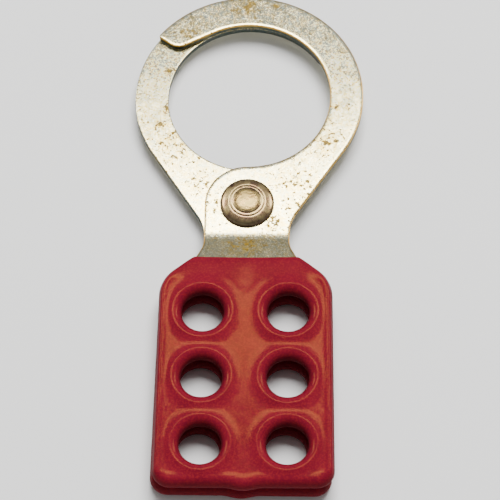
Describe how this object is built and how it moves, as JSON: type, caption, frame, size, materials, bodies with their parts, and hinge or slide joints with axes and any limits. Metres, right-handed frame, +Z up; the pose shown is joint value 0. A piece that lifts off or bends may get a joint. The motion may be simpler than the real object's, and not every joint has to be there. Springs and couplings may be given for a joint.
{
  "type": "lockout hasp",
  "caption": "Scissor-type safety lockout hasp: two crossed steel jaw plates on a rivet, with vinyl-dipped grips pierced for padlocks.",
  "frame": {"origin": "centre of the closed hasp's box, on the plane it lies on, which is the back of the rear grip", "axes": "+Y from the grips towards the jaw, +Z up out of the front face, +X to the right seen from the front"},
  "size_m": [0.0532, 0.1276, 0.0083],
  "materials": {
    "plated_steel": "bright zinc or nickel plate with stamping marks and a little rust",
    "rivet_steel": "polished nickel plate with a bronze tone",
    "red_vinyl": "glossy dip coating, slightly mottled"
  },
  "bodies": {
    "front_half": {"front_jaw_plate": "plated_steel", "front_grip_coating": "red_vinyl", "pivot_rivet": "rivet_steel"},
    "rear_half": {"rear_jaw_plate": "plated_steel", "rear_grip_coating": "red_vinyl"}
  },
  "joints": [
    {"name": "jaw_hinge", "type": "hinge", "parent": "front_half", "child": "rear_half", "pos_m": [-0.00013, 0.00833, 0.00415], "axis": [0, 0, 1], "range_deg": [0, 120]}
  ]
}
